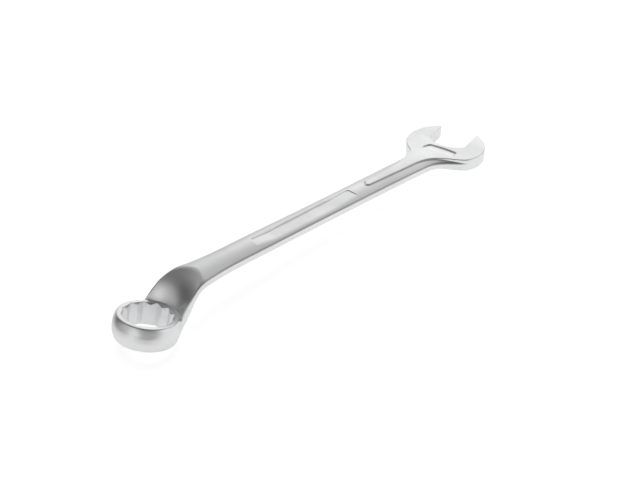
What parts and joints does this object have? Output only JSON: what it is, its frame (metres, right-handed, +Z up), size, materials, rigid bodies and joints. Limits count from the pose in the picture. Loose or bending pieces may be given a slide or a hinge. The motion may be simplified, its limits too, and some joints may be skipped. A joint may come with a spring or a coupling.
{
  "type": "combination wrench",
  "caption": "Forged combination wrench with a deep offset bi-hexagon ring at one end and an angled open jaw of the same size at the other, in satin chrome plated steel.",
  "frame": {"origin": "on the surface the wrench lies on, under the middle of its bounding box", "axes": "+Z up from that surface, +X along the wrench from the ring to the open jaw, +Y towards the wide side of the jaw"},
  "size_m": [0.3508, 0.0622, 0.0344],
  "materials": {
    "satin_chrome": "satin chrome plate over a shot blasted steel forging"
  },
  "bodies": {
    "root": {"forged_wrench": "satin_chrome"}
  },
  "joints": []
}
